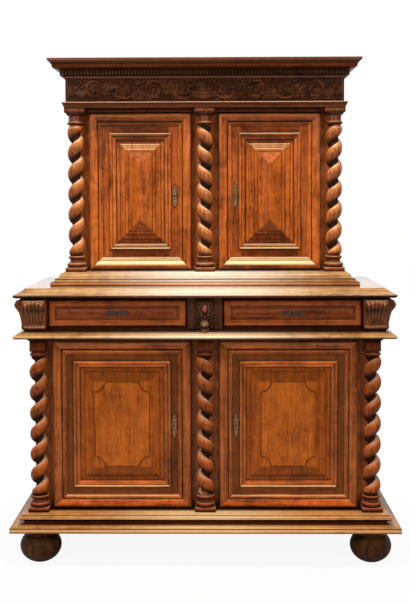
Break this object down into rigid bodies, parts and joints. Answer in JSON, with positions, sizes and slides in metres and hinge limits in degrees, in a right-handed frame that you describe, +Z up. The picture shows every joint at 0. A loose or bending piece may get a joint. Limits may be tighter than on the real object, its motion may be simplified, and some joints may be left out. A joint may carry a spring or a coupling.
{
  "type": "two-part cabinet",
  "caption": "Tall stacked walnut cabinet on bun feet: barley-twist columns, pyramid-panelled upper doors, framed lower doors, drawers, stepped mouldings, carved frieze and pierced key plates",
  "frame": {"origin": "on the floor, under the middle of the plinth", "axes": "+X to the right as seen from the front, -Y to the front, +Z up"},
  "size_m": [1.61, 0.59, 2.1],
  "materials": {
    "walnut_frame": "polished varnish",
    "walnut_moulding": "polished varnish",
    "walnut_panel": "polished varnish",
    "walnut_turned": "polished varnish",
    "walnut_carved": "dark polished varnish",
    "walnut_ledge": "polished varnish, worn pale on its upper edges",
    "walnut_cornice": "polished varnish",
    "oak_inside": "plain planed oak",
    "iron": "dark oiled iron",
    "key_plate": "dull aged brass"
  },
  "bodies": {
    "lower_case": {"bun_feet": "walnut_carved", "plinth_frame": "walnut_ledge", "lower_floor": "walnut_ledge", "lower_side_left": "walnut_frame", "lower_side_right": "walnut_frame", "lower_back": "oak_inside", "lower_front_stiles": "walnut_frame", "lower_shelf": "oak_inside", "waist_board": "walnut_ledge", "drawer_case": "walnut_frame", "corner_consoles": "walnut_carved", "centre_bracket": "walnut_carved", "top_board": "walnut_ledge", "lower_column_left": "walnut_turned", "lower_column_centre": "walnut_turned", "lower_column_right": "walnut_turned"},
    "upper_case": {"upper_base": "walnut_ledge", "upper_side_left": "walnut_frame", "upper_side_right": "walnut_frame", "upper_back": "oak_inside", "upper_front_stiles": "walnut_frame", "upper_shelf": "oak_inside", "upper_column_left": "walnut_turned", "upper_column_centre": "walnut_turned", "upper_column_right": "walnut_turned", "architrave": "walnut_cornice", "frieze": "walnut_carved", "cornice": "walnut_cornice"},
    "lower_door_left": {"lower_door_left_frame": "walnut_frame", "lower_door_left_moulding": "walnut_moulding", "lower_door_left_panel": "walnut_panel", "lower_door_left_lock": "key_plate", "lower_door_left_pins": "iron"},
    "lower_door_left_bolt_body": {"lower_door_left_bolt": "iron"},
    "lower_door_right": {"lower_door_right_frame": "walnut_frame", "lower_door_right_moulding": "walnut_moulding", "lower_door_right_panel": "walnut_panel", "lower_door_right_lock": "key_plate", "lower_door_right_pins": "iron"},
    "lower_door_right_bolt_body": {"lower_door_right_bolt": "iron"},
    "upper_door_left": {"upper_door_left_frame": "walnut_frame", "upper_door_left_moulding": "walnut_moulding", "upper_door_left_panel": "walnut_panel", "upper_door_left_lock": "key_plate", "upper_door_left_pins": "iron"},
    "upper_door_left_bolt_body": {"upper_door_left_bolt": "iron"},
    "upper_door_right": {"upper_door_right_frame": "walnut_frame", "upper_door_right_moulding": "walnut_moulding", "upper_door_right_panel": "walnut_panel", "upper_door_right_lock": "key_plate", "upper_door_right_pins": "iron"},
    "upper_door_right_bolt_body": {"upper_door_right_bolt": "iron"},
    "drawer_left": {"drawer_left_front": "walnut_moulding", "drawer_left_box": "oak_inside", "drawer_left_lock": "key_plate"},
    "drawer_left_bolt_body": {"drawer_left_bolt": "iron"},
    "drawer_right": {"drawer_right_front": "walnut_moulding", "drawer_right_box": "oak_inside", "drawer_right_lock": "key_plate"},
    "drawer_right_bolt_body": {"drawer_right_bolt": "iron"}
  },
  "joints": [
    {"name": "upper_case_lift", "type": "slide", "parent": "lower_case", "child": "upper_case", "axis": [0, 0, 1], "range_m": [0, 0.06]},
    {"name": "lower_door_left_hinge", "type": "hinge", "parent": "lower_case", "child": "lower_door_left", "pos_m": [-0.63, -0.159, 0.565], "axis": [0, 0, -1], "range_deg": [0, 90]},
    {"name": "lower_door_left_bolt_slide", "type": "slide", "parent": "lower_door_left", "child": "lower_door_left_bolt_body", "axis": [1, 0, 0], "range_m": [0, 0.008]},
    {"name": "lower_door_right_hinge", "type": "hinge", "parent": "lower_case", "child": "lower_door_right", "pos_m": [0.63, -0.159, 0.565], "axis": [0, 0, 1], "range_deg": [0, 90]},
    {"name": "lower_door_right_bolt_slide", "type": "slide", "parent": "lower_door_right", "child": "lower_door_right_bolt_body", "axis": [-1, 0, 0], "range_m": [0, 0.008]},
    {"name": "upper_door_left_hinge", "type": "hinge", "parent": "upper_case", "child": "upper_door_left", "pos_m": [-0.4845, -0.029, 1.545], "axis": [0, 0, -1], "range_deg": [0, 90]},
    {"name": "upper_door_left_bolt_slide", "type": "slide", "parent": "upper_door_left", "child": "upper_door_left_bolt_body", "axis": [1, 0, 0], "range_m": [0, 0.008]},
    {"name": "upper_door_right_hinge", "type": "hinge", "parent": "upper_case", "child": "upper_door_right", "pos_m": [0.4845, -0.029, 1.545], "axis": [0, 0, 1], "range_deg": [0, 90]},
    {"name": "upper_door_right_bolt_slide", "type": "slide", "parent": "upper_door_right", "child": "upper_door_right_bolt_body", "axis": [-1, 0, 0], "range_m": [0, 0.008]},
    {"name": "drawer_left_slide", "type": "slide", "parent": "lower_case", "child": "drawer_left", "axis": [0, -1, 0], "range_m": [0, 0.35]},
    {"name": "drawer_left_bolt_slide", "type": "slide", "parent": "drawer_left", "child": "drawer_left_bolt_body", "axis": [0, 0, 1], "range_m": [0, 0.008]},
    {"name": "drawer_right_slide", "type": "slide", "parent": "lower_case", "child": "drawer_right", "axis": [0, -1, 0], "range_m": [0, 0.35]},
    {"name": "drawer_right_bolt_slide", "type": "slide", "parent": "drawer_right", "child": "drawer_right_bolt_body", "axis": [0, 0, 1], "range_m": [0, 0.008]}
  ]
}
